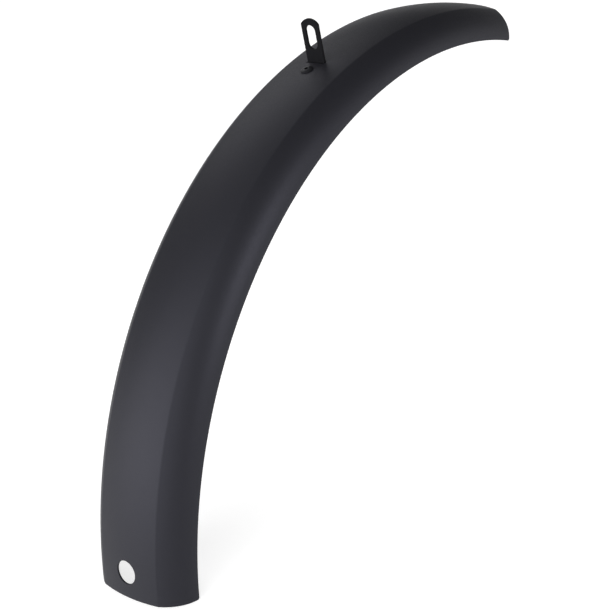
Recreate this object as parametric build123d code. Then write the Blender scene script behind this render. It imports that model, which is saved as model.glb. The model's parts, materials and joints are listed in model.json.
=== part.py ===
from build123d import *
import os
from math import asin, cos, degrees, radians, sin, sqrt

# Front mudguard for a 20 inch bicycle wheel: a moulded shell, a folded steel bracket and a blind rivet.
# X points forwards, Y to the rider's left and Z up along the fork's steering axis, in millimetres.
# The origin is the centre of the bracket's bolt slot, on the face that meets the fork crown.

# Shell section over its outside, as arcs that run tangent into each other from the crown to the edge:
# a crowned panel, then a crease, a shoulder and a skirt on each side
crown_radius = 270.0
panel_width = 39.4
panel_radius = 85.3
crease_radius = 4.0
crease_turn = 15.2
shoulder_radius = 25.0
shoulder_turn = 25.4
skirt_radius = 18.6
shell_wall = 1.2
edge_break = 0.35

# Shell length, as angles about the axle from straight above it
front_end_angle = 23.5
rear_end_angle = 78.4
end_corner_radius = 1.2

# Round hole near the rear end, its centre measured along the crown from the end
stay_hole_diameter = 13.0
stay_hole_inset = 14.7

# Bracket, folded from flat strip
strip_width = 12.0
strip_thickness = 1.5
bend_radius = 0.8
axle_ahead = 41.2
slot_above_crown = 14.2
slot_width = 6.6
slot_length = 13.8
top_above_slot = 10.6
top_rise = 3.1
foot_past_rivet = 7.0
foot_corner_radius = 2.5

# Blind rivet, its axis measured along the crown from the bracket's rear face
rivet_setback = 8.6
rivet_shank_diameter = 4.0
rivet_head_diameter = 7.5
rivet_head_height = 1.3
rivet_head_rim = 0.35
rivet_tail_diameter = 6.2
rivet_tail_length = 3.4
rivet_tail_chamfer = 0.9
mandrel_diameter = 2.2
mandrel_recess = 0.9
mandrel_head_diameter = 3.8
mandrel_head_length = 1.7
mandrel_head_chamfer = 0.9

# Clearances
slit_clearance = 0.3
seat_clearance = 0.05
rivet_hole_clearance = 0.1
mandrel_clearance = 0.03


def radial(angle):
    """Direction away from the axle, at an angle forward of straight up."""
    return Vector(sin(radians(angle)), 0, cos(radians(angle)))


def along_crown(length):
    """Angle about the axle that a length along the crown covers."""
    return degrees(length / crown_radius)


def section_plane(angle):
    """Plane through the axle at an angle, with Y pointing away from the axle."""
    return Plane(origin=axle, x_dir=(0, 1, 0), z_dir=radial(angle + 90))


def crown_plane(angle):
    """Plane on the shell's crown, with its normal pointing away from the axle."""
    return Plane(origin=axle + radial(angle) * crown_radius, x_dir=(0, 1, 0), z_dir=radial(angle))


# The axle, and the angles of what sits on the crown
bracket_angle = -degrees(asin((axle_ahead + strip_thickness) / crown_radius))
axle = Vector(axle_ahead, 0, -slot_above_crown - crown_radius * cos(radians(bracket_angle)))
rivet_angle = bracket_angle - along_crown(rivet_setback)
stay_hole_angle = along_crown(stay_hole_inset) - rear_end_angle

# The foot is flat and the panel above it is crowned both ways, so the foot's corners seat first
ceiling_radius = panel_radius - shell_wall
ceiling_sag = ceiling_radius - sqrt(ceiling_radius**2 - strip_width**2 / 4)
foot_reach = max(foot_past_rivet, rivet_setback)
foot_top = sqrt((crown_radius - shell_wall - ceiling_sag - seat_clearance) ** 2 - foot_reach**2)
rivet_grip = crown_radius - foot_top + strip_thickness


def section_line(depth):
    """Arcs of one side of the shell's section at a depth under its outside, from the crown to the edge."""
    panel_turn = degrees(asin(panel_width / 2 / panel_radius))
    skirt_turn = 90 - panel_turn - crease_turn - shoulder_turn
    panel = JernArc((0, crown_radius - depth), (1, 0), panel_radius - depth, -panel_turn)
    crease = JernArc(panel @ 1, panel % 1, crease_radius - depth, -crease_turn)
    shoulder = JernArc(crease @ 1, crease % 1, shoulder_radius - depth, -shoulder_turn)
    skirt = JernArc(shoulder @ 1, shoulder % 1, skirt_radius - depth, -skirt_turn)
    return [panel, crease, shoulder, skirt]


def half_section():
    """Closed face of the shell's wall on one side of the crown, with the corners of its edge broken."""
    outside = section_line(0)
    inside = section_line(shell_wall)
    crown = Line(outside[0] @ 0, inside[0] @ 0)
    edge = Line(outside[-1] @ 1, inside[-1] @ 1)
    wall = make_face([*outside, *inside, crown, edge])
    edge_corners = wall.vertices().sort_by(Axis.Y)[:2]
    return chamfer(edge_corners, min(edge_break, shell_wall / 3))


def side_outline():
    """Side view of the shell, a sector about the axle with its corners at the shell's edge rounded."""
    sweep = front_end_angle + rear_end_angle
    edge = CenterArc((0, 0), (section_line(0)[-1] @ 1).Y, 90 - front_end_angle, sweep)
    beyond = CenterArc((0, 0), 2 * crown_radius, 90 - front_end_angle, sweep)
    sector = make_face([edge, beyond, Line(edge @ 0, beyond @ 0), Line(edge @ 1, beyond @ 1)])
    corners = sector.vertices().sort_by_distance((0, 0))[:2]
    return Plane(origin=axle, x_dir=(1, 0, 0), z_dir=(0, -1, 0)) * fillet(corners, end_corner_radius)


def guard_shell():
    """Half the section turned about the axle, cut for the bracket and the holes, then mirrored."""
    start = section_plane(-rear_end_angle) * half_section()
    half = revolve(start, Axis(axle, (0, 1, 0)), revolution_arc=rear_end_angle + front_end_angle)
    half &= extrude(side_outline(), amount=crown_radius, both=True)
    slit_rear = -strip_thickness - bend_radius - slit_clearance
    slit_length = slit_clearance - slit_rear
    slit_width = strip_width + 2 * slit_clearance
    slit = Pos(slit_rear + slit_length / 2, 0, 0) * Rectangle(slit_length, slit_width)
    half -= extrude(slit, amount=-2 * slot_above_crown)
    half -= crown_plane(rivet_angle) * rivet_hole()
    half -= crown_plane(stay_hole_angle) * Cylinder(stay_hole_diameter / 2, 2 * stay_hole_diameter)
    return half + mirror(half, about=Plane.XZ)


def fold_line(depth):
    """Side view of the bracket at a depth under its upper and rear faces, from the foot's tip to the top."""
    forward = radial(rivet_angle + 90)
    under_rivet = axle + radial(rivet_angle) * (foot_top - depth)
    upright = depth - strip_thickness
    corner = under_rivet + forward * ((upright - under_rivet.X) / forward.X)
    tip = under_rivet - forward * foot_past_rivet
    return FilletPolyline(tip, corner, (upright, 0, top_above_slot), radius=bend_radius + depth)


def fork_bracket():
    """The folded strip, with a rounded top, rounded foot corners, the bolt slot and the rivet hole."""
    inside = fold_line(0)
    outside = fold_line(strip_thickness)
    profile = make_face([inside, outside, Line(inside @ 0, outside @ 0), Line(inside @ 1, outside @ 1)])
    blank = extrude(profile, amount=strip_width / 2, dir=(0, 1, 0), both=True)
    foot_corners = blank.edges().filter_by(Axis((0, 0, 0), radial(rivet_angle)))
    blank = fillet(foot_corners, foot_corner_radius)
    half = strip_width / 2
    low = blank.bounding_box().min.Z
    shoulder = top_above_slot - top_rise
    sides = Polyline((half, shoulder), (half, low), (-half, low), (-half, shoulder))
    top = ThreePointArc((-half, shoulder), (0, top_above_slot), (half, shoulder))
    outline = Plane.YZ * make_face([sides, top])
    bracket = blank & extrude(outline, amount=crown_radius, both=True)
    slot = Plane.YZ * SlotOverall(slot_length, slot_width, rotation=90)
    bracket -= extrude(slot, amount=-2 * strip_thickness)
    bracket -= crown_plane(rivet_angle) * rivet_hole()
    return bracket


def rivet_hole():
    """Drill for the rivet's shank, through the shell and the foot."""
    return Cylinder(rivet_shank_diameter / 2 + rivet_hole_clearance, 4 * rivet_grip)


def rivet_body():
    """Turned about the rivet's axis: the domed head, the shank, and the tail formed against the foot."""
    head = rivet_head_diameter / 2
    shank = rivet_shank_diameter / 2
    tail = rivet_tail_diameter / 2
    tail_end = -rivet_grip - rivet_tail_length
    dome = TangentArc((0, 0, rivet_head_height), (head, 0, rivet_head_rim), tangent=(1, 0, 0))
    rest = Polyline(
        (head, 0, rivet_head_rim),
        (head, 0, 0),
        (shank, 0, 0),
        (shank, 0, -rivet_grip),
        (tail, 0, -rivet_grip),
        (tail, 0, tail_end),
        (0, 0, tail_end),
        (0, 0, rivet_head_height),
    )
    body = revolve(make_face([dome, rest]), Axis.Z)
    tail_edges = [e for e in body.edges().filter_by(GeomType.CIRCLE) if abs(e.radius - tail) < 1e-6]
    body = chamfer(tail_edges, rivet_tail_chamfer)
    body -= Cylinder(mandrel_diameter / 2 + mandrel_clearance, 4 * (rivet_grip + rivet_tail_length))
    return crown_plane(rivet_angle) * body


def rivet_mandrel():
    """The pulling pin's broken stem in the rivet's bore, and its head against the tail."""
    tail_end = -rivet_grip - rivet_tail_length
    stem_top = rivet_head_height - mandrel_recess
    stem = Pos(0, 0, tail_end) * Cylinder(
        mandrel_diameter / 2, stem_top - tail_end, align=(Align.CENTER, Align.CENTER, Align.MIN)
    )
    head = Pos(0, 0, tail_end) * Cylinder(
        mandrel_head_diameter / 2, mandrel_head_length, align=(Align.CENTER, Align.CENTER, Align.MAX)
    )
    head = chamfer(head.edges().sort_by(Axis.Z)[0], mandrel_head_chamfer)
    return crown_plane(rivet_angle) * (stem + head)


pieces = {
    "guard_shell": guard_shell(),
    "fork_bracket": fork_bracket(),
    "rivet_body": rivet_body(),
    "rivet_mandrel": rivet_mandrel(),
}

os.makedirs("parts", exist_ok=True)
for name, piece in pieces.items():
    export_step(piece, f"parts/{name}.step")
    box = piece.bounding_box()
    print(name, round(piece.volume, 2), box.min, box.max)
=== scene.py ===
import json
import math

import bpy
import numpy as np
from bpy.props import FloatProperty, FloatVectorProperty, PointerProperty
from bpy.types import Operator, Panel, PropertyGroup
from mathutils import Matrix, Vector


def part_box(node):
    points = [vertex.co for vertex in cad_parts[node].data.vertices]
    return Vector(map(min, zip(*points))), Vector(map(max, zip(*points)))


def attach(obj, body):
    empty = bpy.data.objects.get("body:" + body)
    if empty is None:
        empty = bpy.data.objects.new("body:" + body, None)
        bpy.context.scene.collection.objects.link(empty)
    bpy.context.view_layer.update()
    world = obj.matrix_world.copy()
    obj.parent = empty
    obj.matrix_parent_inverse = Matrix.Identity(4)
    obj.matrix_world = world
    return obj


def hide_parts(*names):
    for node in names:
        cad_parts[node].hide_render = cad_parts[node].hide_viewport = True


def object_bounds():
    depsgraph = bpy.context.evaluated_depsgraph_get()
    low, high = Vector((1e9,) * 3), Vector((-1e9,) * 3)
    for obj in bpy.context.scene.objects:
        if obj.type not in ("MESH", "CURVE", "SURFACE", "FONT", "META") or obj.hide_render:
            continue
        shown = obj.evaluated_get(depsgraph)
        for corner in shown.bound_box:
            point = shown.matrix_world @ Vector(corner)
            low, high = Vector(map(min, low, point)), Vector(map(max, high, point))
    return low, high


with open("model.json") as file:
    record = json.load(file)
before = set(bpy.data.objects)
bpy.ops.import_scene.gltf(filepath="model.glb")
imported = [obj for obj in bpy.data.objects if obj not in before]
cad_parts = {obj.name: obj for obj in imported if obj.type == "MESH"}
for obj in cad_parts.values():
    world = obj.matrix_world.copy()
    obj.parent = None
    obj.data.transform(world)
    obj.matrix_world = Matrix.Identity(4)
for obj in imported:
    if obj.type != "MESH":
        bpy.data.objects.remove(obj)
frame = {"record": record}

bl_info = {
    "name": "Bicycle mudguard",
    "version": (1, 0, 0),
    "blender": (4, 5, 0),
    "location": "View3D > Sidebar > Mudguard",
    "description": "Builds a bicycle mudguard on its packed frame, with its bracket, rivet and stage",
    "category": "Add Mesh",
}

CAD_LOW, CAD_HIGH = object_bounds()
BRACKET_LOW, BRACKET_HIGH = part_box("fork_bracket")
RIVET_LOW, RIVET_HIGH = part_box("rivet_body")
PIN_LOW, PIN_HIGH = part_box("rivet_mandrel")
RECORD_COLOUR = {finish["slot"]: finish["base_color"] for finish in frame["record"]["materials"]}

# Columns of the shell from the crown to the edge, and the last one's width against the skirt's others
PANEL_COLUMNS = 16
CREASE_COLUMNS = 6
SHOULDER_COLUMNS = 10
SKIRT_COLUMNS = 12
SKIRT_LAST_COLUMN = 0.6

# Rows of the shell: from the rear corner to the hole, round it, on to the rivet, round it, round the slit,
# and on to the front corner
SHELL_ROWS = (2, 16, 120, 8, 8, 62)
END_CORNER_ROWS = 8

# Which of those stretches hold a block, for the hole, the rivet and the slit, and its columns each side
SHELL_BLOCKS = (1, 3, 4)
BLOCK_COLUMNS = 8

# Columns of the strip, and how many of them are left on each side of the rivet's block
STRIP_COLUMNS = 12
STRIP_MARGIN = 2

# Rows of the strip: from the foot's corner to the rivet's block, round the rivet, to the bend, over it and up
# to the eye, and which of those stretches holds the block
STRIP_ROWS = (1, 8, 3, 12, 5)
STRIP_BLOCK = 1
FOOT_CORNER_ROWS = 7
EYE_SIDE_STEPS = 15
EYE_TOP_POINTS = 19

# Rings round a hole, as shares of the way from its edge to the grid
RING_SHARES = np.array([0.0, 0.06, 0.16, 0.3, 0.5, 0.74])

# Points down a sheet's rounded edge, round a profile's corner and over the dome, and facets of turned pieces
EDGE_POINTS = 5
CORNER_POINTS = 6
DOME_POINTS = 14
RIVET_FACETS = 72
PIN_FACETS = 48

# The range of values that a noise texture keeps to nearly everywhere, and its finer layers
NOISE_LOW, NOISE_HIGH = 0.25, 0.75
NOISE_DETAIL = 2.0

WHITE = (1.0, 1.0, 1.0)
# In millimetres, as the lens is
SENSOR_WIDTH = 36.0


def length(name, description, default):
    """A length in metres that a user may change."""
    return FloatProperty(
        name=name, description=description, default=default, min=0.0, precision=5, unit="LENGTH"
    )


def angle(name, description, degrees):
    """An angle that a user may change, given here in degrees."""
    return FloatProperty(
        name=name, description=description, default=math.radians(degrees), subtype="ANGLE"
    )


def share(name, description, default):
    """A number from 0 to 1 that a user may change."""
    return FloatProperty(
        name=name, description=description, default=default, min=0.0, max=1.0, subtype="FACTOR"
    )


def colour(name, description, default):
    """A colour that a user may change."""
    return FloatVectorProperty(
        name=name, description=description, default=default, min=0.0, max=1.0, size=3, subtype="COLOR"
    )


def place(name, description, default):
    """A point in the part's frame that a user may change."""
    return FloatVectorProperty(
        name=name, description=description, default=default, size=3, subtype="XYZ", unit="LENGTH"
    )


def direction(name, description, default):
    """A direction in the part's frame that a user may change."""
    return FloatVectorProperty(
        name=name, description=description, default=default, size=3, subtype="DIRECTION"
    )


def strength(name, description, default):
    """A lamp's strength that a user may change."""
    return FloatProperty(name=name, description=description, default=default, min=0.0)


class ShellSizes(PropertyGroup):
    """Sizes of the moulded shell."""

    crown_radius: length("Crown radius", "From the axle to the outside of the crown", 0.270)
    panel_width: length("Panel width", "Across the crowned panel, between the creases", 0.0394)
    panel_radius: length("Panel radius", "Radius of the panel's crown across the shell", 0.0853)
    crease_radius: length("Crease radius", "Radius of the crease at each side of the panel", 0.004)
    crease_turn: angle("Crease turn", "How far the crease turns the section down", 15.2)
    shoulder_radius: length("Shoulder radius", "Radius between the crease and the skirt", 0.025)
    shoulder_turn: angle("Shoulder turn", "How far the shoulder turns the section down", 25.4)
    skirt_radius: length("Skirt radius", "Radius of the skirt, which ends pointing at the axle", 0.0186)
    wall: length("Wall", "Thickness of the moulding", 0.0012)
    rounding: length("Edge rounding", "Radius on the edges of the moulding", 0.00035)
    front_end: angle("Front end", "From straight above the axle to the front end", 23.5)
    rear_end: angle("Rear end", "From straight above the axle to the rear end", 78.4)
    corner_radius: length("Corner radius", "Radius of the four corners, seen from the side", 0.00126)
    hole_diameter: length("Hole diameter", "Round hole near the rear end", 0.013)
    hole_inset: length("Hole inset", "From the rear end to the hole's centre, along the crown", 0.0147)
    slit_clearance: length("Slit clearance", "Room round the bracket in its slit", 0.0003)
    slit_rounding: share("Slit rounding", "Rounding round the slit, as a share of that on the edges", 0.3)


class BracketSizes(PropertyGroup):
    """Sizes of the folded steel strip."""

    width: length("Strip width", "Width of the strip", BRACKET_HIGH[1] - BRACKET_LOW[1])
    thickness: length("Strip thickness", "Thickness of the strip", 0.0015)
    rounding: length("Edge rounding", "Radius on the strip's coated edges", 0.0002)
    bend_radius: length("Bend radius", "Inside radius of the fold", 0.0008)
    axle_ahead: length("Axle ahead", "From the fork's face forward to the axle", 0.0412)
    slot_above_crown: length("Slot above crown", "From the crown up to the slot's centre", 0.0142)
    slot_width: length("Slot width", "Width of the bolt slot", 0.0066)
    slot_length: length("Slot length", "Length of the bolt slot, ends included", 0.0138)
    top: length("Top", "From the slot's centre up to the top", BRACKET_HIGH[2])
    top_rise: length("Top rise", "Rise of the rounded top over its corners", 0.0031)
    eye_foot: length("Eye foot", "From the slot's centre down to where the plain strip starts", 0.0096)
    foot_past_rivet: length("Foot past rivet", "From the rivet to the foot's tip", 0.007)
    foot_corner: length("Foot corner", "Radius of the foot's corners", 0.0025)
    foot_drop: length("Foot drop", "From the crown down to the top of the foot, at the rivet", 0.001602)


class RivetSizes(PropertyGroup):
    """Sizes of the blind rivet and of the pin left in it."""

    setback: length("Setback", "From the bracket to the rivet's axis, along the crown", 0.0086)
    head_diameter: length("Head diameter", "Domed head outside the shell", RIVET_HIGH[1] - RIVET_LOW[1])
    head_height: length("Head height", "Height of the dome", 0.0013)
    head_rim: length("Head rim", "Height of the head's edge", 0.00035)
    dome_margin: length("Dome margin", "From the dome to the bore and to the head's edge", 0.0001)
    rim_rounding: length("Rim rounding", "Radius between the dome and the head's edge", 0.00006)
    seat_rounding: length("Seat rounding", "Radius under the head's edge", 0.00008)
    lip_rounding: length("Lip rounding", "Radius between the bore and the dome", 0.00008)
    bore_rounding: length("Bore rounding", "Radius at the bore's lower end", 0.0001)
    shank_diameter: length("Shank diameter", "Shank through the shell and the foot", 0.004)
    hole_clearance: length("Hole clearance", "Room round the shank", 0.0001)
    tail_diameter: length("Tail diameter", "Tail formed under the foot", 0.0062)
    tail_length: length("Tail length", "Length of the tail", 0.0034)
    tail_rounding: length("Tail rounding", "Radius on both ends of the tail", 0.00137)
    pin_diameter: length("Pin diameter", "Stem of the pulling pin", 0.0022)
    pin_recess: length("Pin recess", "From the dome's top down to the broken stem", 0.0009)
    pin_clearance: length("Pin clearance", "Room round the stem", 0.00003)
    pin_head_diameter: length("Pin head diameter", "Head of the pin under the tail", PIN_HIGH[1] - PIN_LOW[1])
    pin_head_length: length("Pin head length", "Length of the pin's head", 0.0017)
    pin_head_rounding: length("Pin head rounding", "Radius under the pin's head", 0.0011)
    pin_head_edge: length("Pin head edge", "Radius on top of the pin's head", 0.00015)
    nib_top: share("Nib top", "Width of the torn nib's top, as a share of the stem", 0.4)
    nib_foot: share("Nib foot", "Width of the torn nib's foot, as a share of the stem", 0.6)
    nib_top_drop: length("Nib top drop", "From the nib's tip down to the edge of its top", 0.00002)
    nib_foot_drop: length("Nib foot drop", "From the nib's tip down to its foot", 0.00018)
    break_drop: length("Break drop", "From the nib's tip down to the broken stem's edge", 0.00022)
    nib_rounding: length("Nib rounding", "Radius on the nib's top and at its foot", 0.00005)
    break_rounding: length("Break rounding", "Radius on the broken stem's edge", 0.00008)


class Finishes(PropertyGroup):
    """Colours and gloss of the pieces."""

    plastic: colour("Shell plastic", "Black moulded plastic", RECORD_COLOUR["shell_plastic"])
    plastic_roughness: share("Plastic roughness", "How dull the plastic is", 0.5)
    plastic_shine: share("Plastic shine", "How strongly the plastic mirrors", 0.27)
    cool_tint: colour("Cool tint", "Tint of what the black plastic and coats mirror", (0.82, 0.82, 1.0))
    grain_size: length("Grain size", "Size of the plastic's moulded texture", 0.0005)
    grain_depth: length("Grain depth", "Depth of the plastic's moulded texture", 0.00003)
    steel: colour("Bracket coat", "Black coat on the strip", RECORD_COLOUR["bracket_steel"])
    steel_roughness: share("Coat roughness", "How dull the coat is", 0.5)
    steel_shine: share("Coat shine", "How strongly the coat mirrors", 0.04)
    rivet: colour("Rivet coat", "Black coat on the rivet", RECORD_COLOUR["rivet_black"])
    rivet_roughness: share("Rivet roughness", "How dull the rivet is", 0.4)
    rivet_shine: share("Rivet shine", "How strongly the rivet mirrors", 0.24)
    # The pin's colour is darker than its steel's own, as painted shade in the rivet's recess where its broken
    # top sits
    pin: colour("Pin", "Blackened steel of the broken pin", (0.008, 0.008, 0.009))
    pin_roughness: share("Pin roughness", "How dull the pin is", 0.8)
    coat_grain_size: length("Coat grain size", "Size of the fine texture of the black coats", 0.0003)
    coat_grain_depth: length("Coat grain depth", "Depth of the fine texture of the black coats", 0.00001)
    tear_size: length("Tear size", "Size of the marks on the broken pin", 0.00015)
    tear_depth: length("Tear depth", "Depth of the marks on the broken pin", 0.00002)
    mottle: share("Mottle", "How far the roughness rises and falls with a texture", 0.08)


class StudioSettings(PropertyGroup):
    """Camera, floor, world and lamps: three wide, soft suns and one soft box on the near side."""

    camera: place("Camera", "Where the camera stands", (-0.55176, -0.49683, 0.23346))
    target: place("Target", "Point in the middle of the picture", (-0.04905, 0.0, -0.14390))
    roll: angle("Roll", "Turn of the camera about its line of sight", -11.806)
    lens: FloatProperty(name="Lens", description="Focal length", default=82.156, unit="CAMERA")
    floor: colour("Floor", "Pale floor", (0.55, 0.55, 0.55))
    floor_lift: colour("Floor lift", "Added to the floor where it is seen or mirrored", (0.7, 0.7, 0.7))
    floor_reach: length("Floor reach", "From the middle of the floor to its sides", 30.0)
    world: strength("World", "Even light from all round", 0.05)
    horizon: angle("Horizon", "Height of the white band above the horizon", 2.0)
    horizon_fade: angle("Horizon fade", "Height over which the white band fades out", 8.0)
    key_towards: direction("Key", "Towards the key lamp, behind the rear end", (-0.9397, 0.0, 0.342))
    key_spread: angle("Key spread", "Apparent width of the key lamp", 90.0)
    key_strength: strength("Key strength", "Strength of the key lamp", 3.22)
    low_towards: direction("Low", "Towards the low lamp, rear and far side", (-0.8576, 0.4951, 0.1392))
    low_spread: angle("Low spread", "Apparent width of the low lamp", 50.0)
    low_strength: strength("Low strength", "Strength of the low lamp", 1.86)
    far_towards: direction("Far", "Towards the lamp on the far side", (0.383, 0.6634, 0.6428))
    far_spread: angle("Far spread", "Apparent width of the far lamp", 40.0)
    far_strength: strength("Far strength", "Strength of the far lamp", 0.57)
    box: place("Soft box", "Where the soft box stands, on the near side", (-0.06, -0.5313, 0.0424))
    box_aim: place("Soft box aim", "Where the soft box points", (-0.06, 0.0, -0.10))
    box_width: length("Soft box width", "Width of the round soft box", 0.35)
    box_power: FloatProperty(
        name="Soft box power", description="Power of the soft box", default=1.74, min=0.0, unit="POWER"
    )


class MudguardSettings(PropertyGroup):
    """All settings of the mudguard and its stage."""

    shell: PointerProperty(type=ShellSizes)
    bracket: PointerProperty(type=BracketSizes)
    rivet: PointerProperty(type=RivetSizes)
    finish: PointerProperty(type=Finishes)
    studio: PointerProperty(type=StudioSettings)


# Where things sit on the wheel's circle

def bracket_angle(shell, bracket):
    """Angle about the axle of the bracket's rear face where it meets the crown, forward of straight up."""
    return -math.asin((bracket.axle_ahead + bracket.thickness) / shell.crown_radius)


def rivet_angle(shell, bracket, rivet):
    """Angle about the axle of the rivet: the bracket's angle less the setback over the crown's radius."""
    return bracket_angle(shell, bracket) - rivet.setback / shell.crown_radius


def axle(shell, bracket):
    """(x, z) of the axle: ahead of the fork's face, and under the crown that the bracket stands on."""
    crown_drop = shell.crown_radius * math.cos(bracket_angle(shell, bracket))
    return bracket.axle_ahead, -bracket.slot_above_crown - crown_drop


def slit_span(shell, bracket):
    """Middle and half length of the bracket's slit, measured forwards from the axle."""
    rear = -bracket.thickness - bracket.bend_radius - shell.slit_clearance
    front = shell.slit_clearance
    return (rear + front) / 2 - bracket.axle_ahead, (front - rear) / 2


def rivet_hole(rivet):
    """Radius of the hole for the rivet's shank."""
    return rivet.shank_diameter / 2 + rivet.hole_clearance


# Sheets with holes, and walls made from them

def to_square(points):
    """Points of a rectangle's outline, scaled to run from -1 to 1 both ways."""
    return np.clip(2 * (points - points.min(axis=0)) / np.ptp(points, axis=0) - 1, -1, 1)


def square_angle(a, b):
    """Angle round a square's outline that grows evenly along each side.

    On the sides it is an eighth of a turn times b over a, and on top and bottom the same a quarter turn on.
    """
    side = np.abs(a) >= np.abs(b)
    along = np.where(side, a, b)
    across = np.where(side, b, -a)
    start = np.where(side, 0.0, math.pi / 2) + np.where(along > 0, 0.0, math.pi)
    return start + math.pi / 4 * across / along


def stretches(knots, counts):
    """Even steps between neighbouring knots, with a count for each stretch."""
    steps = [np.linspace(a, b, n, endpoint=False) for a, b, n in zip(knots[:-1], knots[1:], counts)]
    return np.concatenate([*steps, knots[-1:]])


def block_loop(grid, rows, columns):
    """Indices round the outline of a block of a grid, with the rest of the grid on their left."""
    (i, k), (j, m) = rows, columns
    return np.concatenate([grid[i, j:m], grid[i:k, m], grid[k, m:j:-1], grid[k:i:-1, j]])


def grid_quads(grid, blocks):
    """Quads of a grid, without those of its blocks."""
    kept = np.ones((grid.shape[0] - 1, grid.shape[1] - 1), bool)
    for (i, k), (j, m) in blocks:
        kept[i:k, j:m] = False
    quads = np.stack([grid[:-1, :-1], grid[1:, :-1], grid[1:, 1:], grid[:-1, 1:]], axis=-1)
    return quads[kept]


def ring_quads(rings):
    """Quads between closed rings, from the innermost to the outermost."""
    after = np.roll(rings, -1, axis=1)
    return np.stack([rings[:-1], after[:-1], after[1:], rings[1:]], axis=-1).reshape(-1, 4)


def ring_points(inner, outer):
    """Points of the rings round a hole: each is a share of the way from the hole's edge to the outer loop."""
    return (inner + RING_SHARES[:, None, None] * (outer - inner)).reshape(-1, 2)


def ring_indices(first, count):
    """Indices of the points of the rings round a hole, a ring in each row, counted on from the first."""
    return first + np.arange(len(RING_SHARES) * count).reshape(-1, count)


def walled(plan, put, quads, loops, wall, rounding):
    """Closed wall from a sheet with holes, its edges rounded.

    plan(inset, depth) gives the sheet's own two coordinates with all edges drawn in by the inset, and
    put(points, depth) places them at a depth under the outside. Down a rounded edge the inset runs as the
    radius times one less the sine of an angle and the depth as the radius times one less its cosine, and the
    same backwards at the inside. The outer and the inner sheet are the first and the last of these layers.
    """
    turn = np.linspace(0.0, math.pi / 2, EDGE_POINTS)
    insets = np.concatenate([1 - np.sin(turn), 1 - np.cos(turn)]) * rounding
    depths = np.concatenate([(1 - np.cos(turn)) * rounding, wall - (1 - np.sin(turn)) * rounding])
    layers = np.array([put(plan(i, d), d) for i, d in zip(insets, depths)])
    count = layers.shape[1]
    last = (len(layers) - 1) * count
    offsets = np.arange(len(layers))[:, None] * count
    rims = [ring_quads(offsets + loop[::-1]) for loop in loops]
    return layers.reshape(-1, 3), [np.concatenate([quads, last + quads[:, ::-1], *rims])]


def turned(profile, closed, count):
    """Surface of revolution: a profile of (radius, height) turned about its axis.

    Returns points and groups of faces. A closed profile gives rings all round. An open one starts and ends on
    the axis, where each end is one point.
    """
    turn = np.linspace(0.0, -2 * math.pi, count, endpoint=False)
    rings = profile if closed else profile[1:-1]
    x = rings[:, :1] * np.cos(turn)
    y = rings[:, :1] * np.sin(turn)
    z = np.broadcast_to(rings[:, 1:], x.shape)
    points = np.stack([x, y, z], axis=-1).reshape(-1, 3)
    index = np.arange(len(points)).reshape(len(rings), count)
    if closed:
        return points, [ring_quads(np.concatenate([index, index[:1]]))]
    ends = np.array([[0.0, 0.0, profile[0, 1]], [0.0, 0.0, profile[-1, 1]]])
    after = np.roll(index, -1, axis=1)
    first = np.full(count, len(points))
    start_cap = np.stack([first, after[0], index[0]], axis=-1)
    end_cap = np.stack([first + 1, index[-1], after[-1]], axis=-1)
    return np.concatenate([points, ends]), [ring_quads(index), start_cap, end_cap]


def rounded(corners, radii):
    """Polyline with its corners rounded: at each corner an arc of the given radius, tangent to both sides."""
    points = []
    for before, corner, after, radius in zip(corners[:-2], corners[1:-1], corners[2:], radii):
        back = (before - corner) / np.linalg.norm(before - corner)
        ahead = (after - corner) / np.linalg.norm(after - corner)
        half = math.acos(np.clip(back @ ahead, -1, 1)) / 2
        middle = (back + ahead) / np.linalg.norm(back + ahead)
        centre = corner + middle * radius / math.sin(half)
        sweep = np.linspace(half - math.pi / 2, math.pi / 2 - half, CORNER_POINTS if radius else 1)
        side = (ahead - back) / np.linalg.norm(ahead - back)
        points.append(centre + radius * (np.sin(sweep)[:, None] * side - np.cos(sweep)[:, None] * middle))
    return np.concatenate([corners[:1], *points, corners[-1:]])


# Shell

def section_arcs(shell):
    """Radius and turn of the tangent arcs of half the section, from the crown to the edge."""
    panel_turn = math.asin(shell.panel_width / 2 / shell.panel_radius)
    skirt_turn = math.pi / 2 - panel_turn - shell.crease_turn - shell.shoulder_turn
    radii = np.array([shell.panel_radius, shell.crease_radius, shell.shoulder_radius, shell.skirt_radius])
    return radii, np.array([panel_turn, shell.crease_turn, shell.shoulder_turn, skirt_turn])


def skin(points, depth, shell, bracket):
    """Places (across, angle) on the shell at a depth under its outside.

    Across is the length along the section from the crown. On each arc the slope grows by that length over
    the arc's radius, and the half width and the radius from the axle change by the arc's radius times the
    change of the slope's sine and cosine. The depth goes against the normal, and the angle turns the section
    about the axle.
    """
    axle_x, axle_z = axle(shell, bracket)
    across = np.abs(points[:, 0])
    slope = np.zeros_like(across)
    half_width = np.zeros_like(across)
    radius = np.full_like(across, shell.crown_radius)
    for arc, turn in zip(*section_arcs(shell)):
        step = np.clip(across, 0.0, arc * turn) / arc
        half_width += arc * (np.sin(slope + step) - np.sin(slope))
        radius += arc * (np.cos(slope + step) - np.cos(slope))
        slope += step
        across -= step * arc
    half_width -= depth * np.sin(slope)
    radius -= depth * np.cos(slope)
    x = axle_x + radius * np.sin(points[:, 1])
    z = axle_z + radius * np.cos(points[:, 1])
    return np.stack([x, np.sign(points[:, 0]) * half_width, z], axis=-1)


def cut_outline(y, x, at, depth, shell):
    """(across, angle) of a straight cut's outline on the panel at a depth.

    y and x are measured square to the cut's own direction, which points from the axle at the angle `at`.
    Across is the panel's radius times the arcsine of y over the radius left at that depth, and the angle adds
    the arcsine of x over the distance from the axle.
    """
    left = shell.panel_radius - depth
    slope = np.arcsin(y / left)
    radius = shell.crown_radius - shell.panel_radius + left * np.cos(slope)
    return np.stack([shell.panel_radius * slope, at + np.arcsin(x / radius)], axis=-1)


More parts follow.
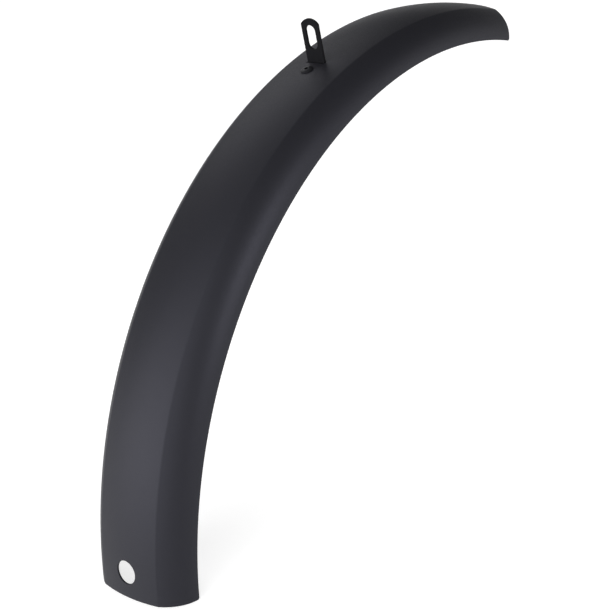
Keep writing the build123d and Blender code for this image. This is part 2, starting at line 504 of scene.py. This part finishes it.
def shell_sheet(shell, bracket, rivet):
    """The shell's sheet of (across, angle): its plan by inset and depth, its quads and its edges' loops.

    Columns follow the section's arcs and rows the wheel's circle. At the ends the rows are those of the
    corner's quarter circle, and the skirt's columns are drawn in to it. Blocks of the grid are left out round
    the hole, the rivet and the slit, and filled with rings.
    """
    radii, turns = section_arcs(shell)
    reach = np.cumsum(radii * turns)
    slopes = np.cumsum(turns)
    edge_radius = shell.crown_radius - np.sum(radii * (np.cos(slopes - turns) - np.cos(slopes)))
    half = stretches(np.array([0.0, *reach[:3]]), [PANEL_COLUMNS, CREASE_COLUMNS, SHOULDER_COLUMNS])
    full_columns = SKIRT_COLUMNS - 1
    skirt = np.append(np.arange(1, SKIRT_COLUMNS) / (full_columns + SKIRT_LAST_COLUMN), 1.0)
    centre = len(half) + full_columns
    corner = shell.corner_radius
    corner_along = corner * shell.crown_radius / edge_radius
    whole = (shell.front_end + shell.rear_end) * shell.crown_radius
    block_half = half[BLOCK_COLUMNS]

    hole_at = shell.hole_inset / shell.crown_radius - shell.rear_end
    slit_middle, slit_half = slit_span(shell, bracket)
    slit_along = (math.asin(slit_middle / shell.crown_radius) + shell.rear_end) * shell.crown_radius
    rivet_at = rivet_angle(shell, bracket, rivet)
    rivet_along = (rivet_at + shell.rear_end) * shell.crown_radius
    between = (rivet_along + rivet_hole(rivet) + slit_along - slit_half) / 2
    knots = np.array([
        corner_along,
        shell.hole_inset - block_half,
        shell.hole_inset + block_half,
        2 * rivet_along - between,
        between,
        2 * slit_along - between,
        whole - corner_along,
    ])
    middle = stretches(knots, SHELL_ROWS)
    turn = np.linspace(0.0, math.pi / 2, END_CORNER_ROWS, endpoint=False)
    starts = len(turn) + np.concatenate([[0], np.cumsum(SHELL_ROWS)])
    shape = (len(middle) + 2 * len(turn), 2 * centre + 1)
    grid = np.arange(shape[0] * shape[1]).reshape(shape)
    columns = (centre - BLOCK_COLUMNS, centre + BLOCK_COLUMNS)
    blocks = [((starts[n], starts[n + 1]), columns) for n in SHELL_BLOCKS]
    loops = [block_loop(grid, *block) for block in blocks]

    def flat_grid(inset):
        rear = corner_along - (corner_along - inset) * np.cos(turn)
        along = np.concatenate([rear, middle, (whole - rear)[::-1]])
        drawn = reach[3] - corner + (corner - inset) * np.sin(turn)
        limit = np.concatenate([drawn, np.full(len(middle), reach[3] - inset), drawn[::-1]])[:, None]
        fixed = np.broadcast_to(half, (len(along), len(half)))
        side = np.concatenate([fixed, reach[2] + skirt * (limit - reach[2])], axis=1)
        across = np.concatenate([-side[:, :0:-1], side], axis=1)
        turned_to = np.broadcast_to(along[:, None] / shell.crown_radius - shell.rear_end, across.shape)
        return np.stack([across, turned_to], axis=-1).reshape(-1, 2)

    flat = flat_grid(0.0)
    squares = [to_square(flat[loop]) for loop in loops]

    def drill(square, radius, at, inset, depth):
        turn_to = square_angle(square[:, 0], square[:, 1])
        size = radius + inset
        return cut_outline(size * np.cos(turn_to), size * np.sin(turn_to), at, depth, shell)

    def slit(square, inset, depth):
        y = square[:, 0] * (bracket.width / 2 + shell.slit_clearance + inset)
        x = slit_middle + square[:, 1] * (slit_half + inset)
        return cut_outline(y, x, 0.0, depth, shell)

    def plan(inset, depth):
        points = flat_grid(inset)
        cuts = [
            drill(squares[0], shell.hole_diameter / 2, hole_at, inset, depth),
            drill(squares[1], rivet_hole(rivet), rivet_at, inset, depth),
            slit(squares[2], shell.slit_rounding * inset, depth),
        ]
        rings = [ring_points(cut, points[loop]) for cut, loop in zip(cuts, loops)]
        return np.concatenate([points, *rings])

    quads = [grid_quads(grid, blocks)]
    edges = [np.concatenate([grid[:-1, 0], grid[-1, :-1], grid[:0:-1, -1], grid[0, :0:-1]])]
    first = grid.size
    for loop in loops:
        rings = ring_indices(first, len(loop))
        quads.append(ring_quads(np.concatenate([rings, loop[None]])))
        edges.append(rings[0])
        first += rings.size
    return plan, np.concatenate(quads), edges


# Bracket

def fold(points, depth, shell, bracket, rivet):
    """Places (across, along) of the flat strip on the folded one, at a depth under its upper and rear face.

    The foot runs straight from its tip along the crown's tangent at the rivet, the bend adds its radius times
    the change of the heading's sine and cosine, and the upright runs straight up. The depth goes against the
    normal.
    """
    at = rivet_angle(shell, bracket, rivet)
    axle_x, axle_z = axle(shell, bracket)
    foot_radius = shell.crown_radius - bracket.foot_drop
    under_rivet = np.array([axle_x + foot_radius * math.sin(at), axle_z + foot_radius * math.cos(at)])
    forward = np.array([math.cos(at), -math.sin(at)])
    heading = -at
    bend_turn = math.pi / 2 - heading
    bend_start, bend_end, _ = fold_marks(shell, bracket, rivet)
    start = under_rivet + forward * (bend_start - bracket.foot_past_rivet)
    along = points[:, 1]
    turn = heading + np.clip((along - bend_start) / bracket.bend_radius, 0.0, bend_turn)
    straight = np.minimum(along - bend_start, 0.0)
    rise = np.maximum(along - bend_end, 0.0)
    x = start[0] + forward[0] * straight + bracket.bend_radius * (np.sin(turn) - math.sin(heading))
    z = start[1] + forward[1] * straight - bracket.bend_radius * (np.cos(turn) - math.cos(heading)) + rise
    return np.stack([x + depth * np.sin(turn), points[:, 0], z - depth * np.cos(turn)], axis=-1)


def fold_marks(shell, bracket, rivet):
    """Lengths along the strip from the foot's tip to the bend's start and end and to the slot's centre.

    The foot's line meets the upright's at a corner, and the bend starts and ends its radius times the tangent
    of half its turn away from there.
    """
    at = rivet_angle(shell, bracket, rivet)
    axle_x, axle_z = axle(shell, bracket)
    foot_radius = shell.crown_radius - bracket.foot_drop
    to_corner = (-bracket.thickness - axle_x - foot_radius * math.sin(at)) / math.cos(at)
    corner_z = axle_z + foot_radius * math.cos(at) - math.sin(at) * to_corner
    bend_turn = math.pi / 2 + at
    cut_back = bracket.bend_radius * math.tan(bend_turn / 2)
    bend_start = bracket.foot_past_rivet + to_corner - cut_back
    bend_end = bend_start + bracket.bend_radius * bend_turn
    return bend_start, bend_end, bend_end - corner_z - cut_back


def slot_outline(shares, bracket, inset):
    """(across, along) of the bolt slot from its centre, by shares of its length round from the lowest point.

    A quarter circle, a straight side, a half circle, a straight side and a quarter circle follow each other,
    and the inset widens them all.
    """
    radius = bracket.slot_width / 2
    side = bracket.slot_length - bracket.slot_width
    run = shares * (2 * side + 2 * math.pi * radius)
    quarter = math.pi * radius / 2
    low = np.clip(run, 0, quarter) / radius
    up = np.clip(run - quarter, 0, side)
    over = np.clip(run - quarter - side, 0, 2 * quarter) / radius
    down = np.clip(run - 3 * quarter - side, 0, side)
    last = np.clip(run - 3 * quarter - 2 * side, 0, quarter) / radius
    turn = low + over + last - math.pi / 2
    across = (radius + inset) * np.cos(turn)
    along = (radius + inset) * np.sin(turn) - side / 2 + up - down
    return np.stack([across, along], axis=-1)


def bracket_sheet(shell, bracket, rivet):
    """The strip's sheet of (across, along): its plan by inset and depth, its quads and its edges' loops.

    A grid runs from the foot's rounded tip up to the eye, with a block left out for the rivet. The eye is
    rings from the slot out to the straight sides and the top's arc.
    """
    bend_start, bend_end, slot_at = fold_marks(shell, bracket, rivet)
    half = bracket.width / 2
    corner = bracket.foot_corner
    turn = np.linspace(0.0, math.pi / 2, FOOT_CORNER_ROWS, endpoint=False)
    columns = np.linspace(-1.0, 1.0, STRIP_COLUMNS + 1)
    block_columns = (STRIP_MARGIN, STRIP_COLUMNS - STRIP_MARGIN)
    block_half = half * columns[block_columns[1]]
    knots = np.array([
        corner,
        bracket.foot_past_rivet - block_half,
        bracket.foot_past_rivet + block_half,
        bend_start,
        bend_end,
        slot_at - bracket.eye_foot,
    ])
    middle = stretches(knots, STRIP_ROWS)
    starts = len(turn) + np.concatenate([[0], np.cumsum(STRIP_ROWS)])
    shape = (len(turn) + len(middle), len(columns))
    grid = np.arange(shape[0] * shape[1]).reshape(shape)
    block = ((starts[STRIP_BLOCK], starts[STRIP_BLOCK + 1]), block_columns)
    loop = block_loop(grid, *block)
    side_steps = np.arange(1, EYE_SIDE_STEPS) / EYE_SIDE_STEPS
    top_radius = (half**2 + bracket.top_rise**2) / (2 * bracket.top_rise)

    def eye_outline(inset):
        shoulder = math.asin((half - inset) / (top_radius - inset))
        high = bracket.top - top_radius + (top_radius - inset) * math.cos(shoulder)
        rise = -bracket.eye_foot + side_steps * (high + bracket.eye_foot)
        over = np.linspace(shoulder, -shoulder, EYE_TOP_POINTS)
        across = np.concatenate([
            columns * (half - inset),
            np.full(len(rise), half - inset),
            (top_radius - inset) * np.sin(over),
            np.full(len(rise), inset - half),
        ])
        along = np.concatenate([
            np.full(len(columns), -bracket.eye_foot),
            rise,
            bracket.top - top_radius + (top_radius - inset) * np.cos(over),
            rise[::-1],
        ])
        return np.stack([across, slot_at + along], axis=-1)

    outline = eye_outline(0.0)
    steps = np.linalg.norm(np.roll(outline, -1, axis=0) - outline, axis=1)
    shares = np.concatenate([[0.0], np.cumsum(steps)[:-1]]) / steps.sum()
    shares = (shares - shares[len(columns) // 2]) % 1.0

    def flat_grid(inset):
        along = np.concatenate([corner - (corner - inset) * np.cos(turn), middle])
        drawn = half - corner + (corner - inset) * np.sin(turn)
        limit = np.concatenate([drawn, np.full(len(middle), half - inset)])[:, None]
        across = columns * limit
        return np.stack([across, np.broadcast_to(along[:, None], across.shape)], axis=-1).reshape(-1, 2)

    square = to_square(flat_grid(0.0)[loop])
    turn_to = square_angle(square[:, 0], square[:, 1])

    def plan(inset, depth):
        points = flat_grid(inset)
        drilled = (rivet_hole(rivet) + inset) * np.stack([np.cos(turn_to), np.sin(turn_to)], axis=-1)
        drilled[:, 1] += bracket.foot_past_rivet
        slotted = slot_outline(shares, bracket, inset) + np.array([0.0, slot_at])
        outer = eye_outline(inset)
        rings = [ring_points(drilled, points[loop]), ring_points(slotted, outer)]
        return np.concatenate([points, *rings, outer])

    rivet_rings = ring_indices(grid.size, len(loop))
    slot_rings = ring_indices(grid.size + rivet_rings.size, len(outline))
    outer_ring = slot_rings[-1] + len(outline)
    outer_ring[:len(columns)] = grid[-1]
    quads = [
        grid_quads(grid, [block]),
        ring_quads(np.concatenate([rivet_rings, loop[None]])),
        ring_quads(np.concatenate([slot_rings, outer_ring[None]])),
    ]
    over_top = np.append(outer_ring[len(columns) - 1:], outer_ring[0])[::-1]
    edge = np.concatenate([grid[:-1, 0], over_top[:-1], grid[:0:-1, -1], grid[0, :0:-1]])
    return plan, np.concatenate(quads), [edge, rivet_rings[0], slot_rings[0]]


# Rivet

def on_rivet_axis(points, shell, bracket, rivet):
    """Places points of a turned piece with its axis pointing from the axle through the crown at the rivet."""
    at = rivet_angle(shell, bracket, rivet)
    axle_x, axle_z = axle(shell, bracket)
    up = np.array([math.sin(at), 0.0, math.cos(at)])
    forward = np.array([math.cos(at), 0.0, -math.sin(at)])
    sideways = np.array([0.0, 1.0, 0.0])
    crown = np.array([axle_x, 0.0, axle_z]) + shell.crown_radius * up
    return crown + points[:, :1] * forward + points[:, 1:2] * sideways + points[:, 2:] * up


def rivet_profile(bracket, rivet):
    """Closed profile of the rivet: over the dome, down the shank, round the formed tail and up the bore.

    The dome is an arc whose radius is the head's squared plus the drop's squared, over twice the drop.
    """
    bore = rivet.pin_diameter / 2 + rivet.pin_clearance
    head = rivet.head_diameter / 2
    shank = rivet.shank_diameter / 2
    tail = rivet.tail_diameter / 2
    grip = bracket.foot_drop + bracket.thickness
    low = -grip - rivet.tail_length
    drop = rivet.head_height - rivet.head_rim
    dome_radius = (head**2 + drop**2) / (2 * drop)
    across = np.linspace(bore + rivet.dome_margin, head - rivet.dome_margin, DOME_POINTS)
    height = rivet.head_height - dome_radius + np.sqrt(dome_radius**2 - across**2)
    dome = np.stack([across, height], axis=-1)
    corners = np.array([
        dome[-1],
        (head, rivet.head_rim),
        (head, 0.0),
        (shank, 0.0),
        (shank, -grip),
        (tail, -grip),
        (tail, low),
        (bore, low),
        (bore, height[0]),
        dome[0],
    ])
    radii = [
        rivet.rim_rounding,
        rivet.seat_rounding,
        0.0,
        0.0,
        rivet.tail_rounding,
        rivet.tail_rounding,
        rivet.bore_rounding,
        rivet.lip_rounding,
    ]
    return np.concatenate([dome[:-1], rounded(corners, radii)[:-1]])


def pin_profile(bracket, rivet):
    """Open profile of the pin: over the torn nib on its broken top, down the stem and round its head."""
    stem = rivet.pin_diameter / 2
    head = rivet.pin_head_diameter / 2
    tail_end = -bracket.foot_drop - bracket.thickness - rivet.tail_length
    head_end = tail_end - rivet.pin_head_length
    top = rivet.head_height - rivet.pin_recess
    corners = np.array([
        (0.0, top),
        (stem * rivet.nib_top, top - rivet.nib_top_drop),
        (stem * rivet.nib_foot, top - rivet.nib_foot_drop),
        (stem, top - rivet.break_drop),
        (stem, tail_end),
        (head, tail_end),
        (head, head_end),
        (0.0, head_end),
    ])
    radii = [
        rivet.nib_rounding,
        rivet.nib_rounding,
        rivet.break_rounding,
        0.0,
        rivet.pin_head_edge,
        rivet.pin_head_rounding,
    ]
    return rounded(corners, radii)


# Meshes and materials

def add_piece(name, node, points, faces, material):
    """New object at the origin from points and groups of faces, in place of a CAD node and on its body.

    Points that no face uses are left out. The normals are weighted by area, so that the broad faces shade
    true right up to their rounded edges.
    """
    used = np.unique(np.concatenate([group.ravel() for group in faces]))
    corners = [face for group in faces for face in np.searchsorted(used, group).tolist()]
    mesh = bpy.data.meshes.new(name)
    mesh.from_pydata(points[used].tolist(), [], corners)
    if mesh.validate():
        raise RuntimeError(f"{name} has a faulty face")
    mesh.shade_smooth()
    mesh.materials.append(material)
    piece = bpy.data.objects.new(name, mesh)
    bpy.context.scene.collection.objects.link(piece)
    shading = piece.modifiers.new("shading", "WEIGHTED_NORMAL")
    shading.mode = "FACE_AREA"
    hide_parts(node)
    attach(piece, "root")


def coat(name, base, roughness, metallic=0.0, specular=0.5, tint=WHITE):
    """Plain shader with its constants on its own sockets. Returns the material and its shader node."""
    material = bpy.data.materials.new(name)
    material.use_nodes = True
    shader = material.node_tree.nodes["Principled BSDF"]
    shader.inputs["Base Color"].default_value = (*base, 1.0)
    shader.inputs["Roughness"].default_value = roughness
    shader.inputs["Metallic"].default_value = metallic
    shader.inputs["Specular IOR Level"].default_value = specular
    shader.inputs["Specular Tint"].default_value = (*tint, 1.0)
    return material, shader


def add_grain(material, shader, size, depth, mottle):
    """Fine texture: noise on Object coordinates, as bump and as a rise and fall of the roughness."""
    nodes, links = material.node_tree.nodes, material.node_tree.links
    place_at = nodes.new("ShaderNodeTexCoord")
    noise = nodes.new("ShaderNodeTexNoise")
    noise.inputs["Scale"].default_value = 1.0 / size
    noise.inputs["Detail"].default_value = NOISE_DETAIL
    bump = nodes.new("ShaderNodeBump")
    bump.inputs["Strength"].default_value = 1.0
    bump.inputs["Distance"].default_value = depth
    roughness = shader.inputs["Roughness"]
    dullness = nodes.new("ShaderNodeMapRange")
    dullness.inputs["From Min"].default_value = NOISE_LOW
    dullness.inputs["From Max"].default_value = NOISE_HIGH
    dullness.inputs["To Min"].default_value = roughness.default_value - mottle
    dullness.inputs["To Max"].default_value = roughness.default_value + mottle
    links.new(place_at.outputs["Object"], noise.inputs["Vector"])
    links.new(noise.outputs["Fac"], bump.inputs["Height"])
    links.new(noise.outputs["Fac"], dullness.inputs["Value"])
    links.new(bump.outputs["Normal"], shader.inputs["Normal"])
    links.new(dullness.outputs["Result"], roughness)


def shell_plastic(finish):
    """Black satin plastic with a fine moulded texture, and a cool tint in what it mirrors."""
    material, shader = coat(
        "shell_plastic",
        finish.plastic,
        finish.plastic_roughness,
        specular=finish.plastic_shine,
        tint=finish.cool_tint,
    )
    add_grain(material, shader, finish.grain_size, finish.grain_depth, finish.mottle)
    return material


def black_coat(name, base, roughness, shine, finish):
    """Thin black coat on steel with a very fine texture, and a cool tint in what it mirrors."""
    material, shader = coat(name, base, roughness, specular=shine, tint=finish.cool_tint)
    add_grain(material, shader, finish.coat_grain_size, finish.coat_grain_depth, finish.mottle)
    return material


def pin_steel(finish):
    """Dull steel with the marks of the break, its colour darker than the steel's own as painted shade in the
    rivet's recess.
    """
    material, shader = coat("pin_steel", finish.pin, finish.pin_roughness, metallic=1.0)
    add_grain(material, shader, finish.tear_size, finish.tear_depth, finish.mottle)
    return material


# Stage

def shown_only(tree):
    """Socket that is 1 for what the camera sees and shiny or clear things show, and 0 for other light."""
    path = tree.nodes.new("ShaderNodeLightPath")
    seen = tree.nodes.new("ShaderNodeMath")
    shown = tree.nodes.new("ShaderNodeMath")
    shown.use_clamp = True
    tree.links.new(path.outputs["Is Camera Ray"], seen.inputs[0])
    tree.links.new(path.outputs["Is Glossy Ray"], seen.inputs[1])
    tree.links.new(seen.outputs["Value"], shown.inputs[0])
    tree.links.new(path.outputs["Is Transmission Ray"], shown.inputs[1])
    return shown.outputs["Value"]


def floor_paint(studio):
    """Dull pale paint, lifted to white where it is seen or mirrored."""
    material, shader = coat("floor_paint", studio.floor, 1.0, specular=0.0)
    shader.inputs["Emission Color"].default_value = (*studio.floor_lift, 1.0)
    material.node_tree.links.new(shown_only(material.node_tree), shader.inputs["Emission Strength"])
    return material


def studio_world(studio):
    """Dim even light, with a white band above the horizon where it is seen or mirrored.

    The band is full up to a height, given as an angle, and fades out over a further angle.
    """
    world = bpy.data.worlds.new("studio")
    world.use_nodes = True
    tree = world.node_tree
    background = tree.nodes["Background"]
    background.inputs["Color"].default_value = (*WHITE, 1.0)
    towards = tree.nodes.new("ShaderNodeTexCoord")
    axes = tree.nodes.new("ShaderNodeSeparateXYZ")
    band = tree.nodes.new("ShaderNodeMapRange")
    band.inputs["From Min"].default_value = math.sin(studio.horizon)
    band.inputs["From Max"].default_value = math.sin(studio.horizon + studio.horizon_fade)
    band.inputs["To Min"].default_value = 1.0 - studio.world
    band.inputs["To Max"].default_value = 0.0
    glow = tree.nodes.new("ShaderNodeMath")
    glow.operation = "MULTIPLY_ADD"
    glow.inputs[2].default_value = studio.world
    tree.links.new(towards.outputs["Generated"], axes.inputs["Vector"])
    tree.links.new(axes.outputs["Z"], band.inputs["Value"])
    tree.links.new(band.outputs["Result"], glow.inputs[0])
    tree.links.new(shown_only(tree), glow.inputs[1])
    tree.links.new(glow.outputs["Value"], background.inputs["Strength"])
    return world


def add_lamp(scene, name, kind, towards):
    """New lamp of a kind, turned so that its light comes from a direction. Returns its object."""
    lamp = bpy.data.objects.new(name, bpy.data.lights.new(name, kind))
    lamp.rotation_euler = Vector(towards).to_track_quat("Z", "Y").to_euler()
    scene.collection.objects.link(lamp)
    return lamp


def add_lamps(scene, studio):
    """The three suns, and the soft box, which the camera doesn't see."""
    for name in ("key", "low", "far"):
        sun = add_lamp(scene, name, "SUN", getattr(studio, f"{name}_towards"))
        sun.data.angle = getattr(studio, f"{name}_spread")
        sun.data.energy = getattr(studio, f"{name}_strength")
    box = add_lamp(scene, "soft_box", "AREA", Vector(studio.box) - Vector(studio.box_aim))
    box.data.shape = "DISK"
    box.data.size = studio.box_width
    box.data.energy = studio.box_power
    box.location = studio.box
    box.visible_camera = False


def add_floor(scene, studio):
    """Wide flat floor under the lowest point of the part."""
    low = CAD_LOW[2]
    far = studio.floor_reach
    corners = [(-far, -far, low), (far, -far, low), (far, far, low), (-far, far, low)]
    mesh = bpy.data.meshes.new("floor")
    mesh.from_pydata(corners, [], [(0, 1, 2, 3)])
    mesh.materials.append(floor_paint(studio))
    floor = bpy.data.objects.new("floor", mesh)
    scene.collection.objects.link(floor)


def add_camera(scene, studio):
    """Camera that looks from its place to its target, rolled about its line of sight."""
    data = bpy.data.cameras.new("camera")
    data.lens = studio.lens
    data.sensor_width = SENSOR_WIDTH
    camera = bpy.data.objects.new("camera", data)
    scene.collection.objects.link(camera)
    back = Vector(studio.camera) - Vector(studio.target)
    turn = back.to_track_quat("Z", "Y").to_matrix() @ Matrix.Rotation(studio.roll, 3, "Z")
    camera.matrix_world = Matrix.Translation(studio.camera) @ turn.to_4x4()
    scene.camera = camera


# Operators and panel

class MUDGUARD_OT_shell(Operator):
    """Build the moulded shell"""

    bl_idname = "mudguard.shell"
    bl_label = "Shell"

    def execute(self, context):
        part = context.scene.mudguard
        shell, bracket, rivet = part.shell, part.bracket, part.rivet

        def put(points, depth):
            return skin(points, depth, shell, bracket)

        plan, quads, loops = shell_sheet(shell, bracket, rivet)
        points, faces = walled(plan, put, quads, loops, shell.wall, shell.rounding)
        add_piece("shell", "guard_shell", points, faces, shell_plastic(part.finish))
        return {"FINISHED"}


class MUDGUARD_OT_bracket(Operator):
    """Build the folded fork bracket"""

    bl_idname = "mudguard.bracket"
    bl_label = "Fork bracket"

    def execute(self, context):
        part = context.scene.mudguard
        shell, bracket, rivet, finish = part.shell, part.bracket, part.rivet, part.finish

        def put(points, depth):
            return fold(points, depth, shell, bracket, rivet)

        plan, quads, loops = bracket_sheet(shell, bracket, rivet)
        points, faces = walled(plan, put, quads, loops, bracket.thickness, bracket.rounding)
        looks = (finish.steel, finish.steel_roughness, finish.steel_shine)
        material = black_coat("bracket_coat", *looks, finish)
        add_piece("bracket", "fork_bracket", points, faces, material)
        return {"FINISHED"}


class MUDGUARD_OT_rivet(Operator):
    """Build the blind rivet and the pin left in it"""

    bl_idname = "mudguard.rivet"
    bl_label = "Rivet and pin"

    def execute(self, context):
        part = context.scene.mudguard
        shell, bracket, rivet, finish = part.shell, part.bracket, part.rivet, part.finish
        points, faces = turned(rivet_profile(bracket, rivet), True, RIVET_FACETS)
        points = on_rivet_axis(points, shell, bracket, rivet)
        looks = (finish.rivet, finish.rivet_roughness, finish.rivet_shine)
        material = black_coat("rivet_coat", *looks, finish)
        add_piece("rivet", "rivet_body", points, faces, material)
        points, faces = turned(pin_profile(bracket, rivet), False, PIN_FACETS)
        points = on_rivet_axis(points, shell, bracket, rivet)
        add_piece("pin", "rivet_mandrel", points, faces, pin_steel(finish))
        return {"FINISHED"}


class MUDGUARD_OT_stage(Operator):
    """Set the floor, the lamps and the camera"""

    bl_idname = "mudguard.stage"
    bl_label = "Stage"

    def execute(self, context):
        scene = context.scene
        studio = scene.mudguard.studio
        scene.view_settings.view_transform = "Standard"
        scene.world = studio_world(studio)
        add_lamps(scene, studio)
        add_floor(scene, studio)
        add_camera(scene, studio)
        return {"FINISHED"}


class MUDGUARD_PT_panel(Panel):
    """Sidebar panel of the mudguard"""

    bl_label = "Mudguard"
    bl_idname = "MUDGUARD_PT_panel"
    bl_space_type = "VIEW_3D"
    bl_region_type = "UI"
    bl_category = "Mudguard"

    def draw(self, context):
        for operator in OPERATORS:
            self.layout.operator(operator.bl_idname)


OPERATORS = (MUDGUARD_OT_shell, MUDGUARD_OT_bracket, MUDGUARD_OT_rivet, MUDGUARD_OT_stage)
CLASSES = (
    ShellSizes,
    BracketSizes,
    RivetSizes,
    Finishes,
    StudioSettings,
    MudguardSettings,
    *OPERATORS,
    MUDGUARD_PT_panel,
)


def register():
    for item in CLASSES:
        bpy.utils.register_class(item)
    bpy.types.Scene.mudguard = PointerProperty(type=MudguardSettings)


def unregister():
    del bpy.types.Scene.mudguard
    for item in reversed(CLASSES):
        bpy.utils.unregister_class(item)


def main():
    register()
    bpy.ops.mudguard.shell()
    bpy.ops.mudguard.bracket()
    bpy.ops.mudguard.rivet()
    bpy.ops.mudguard.stage()


if __name__ == "__main__":
    main()
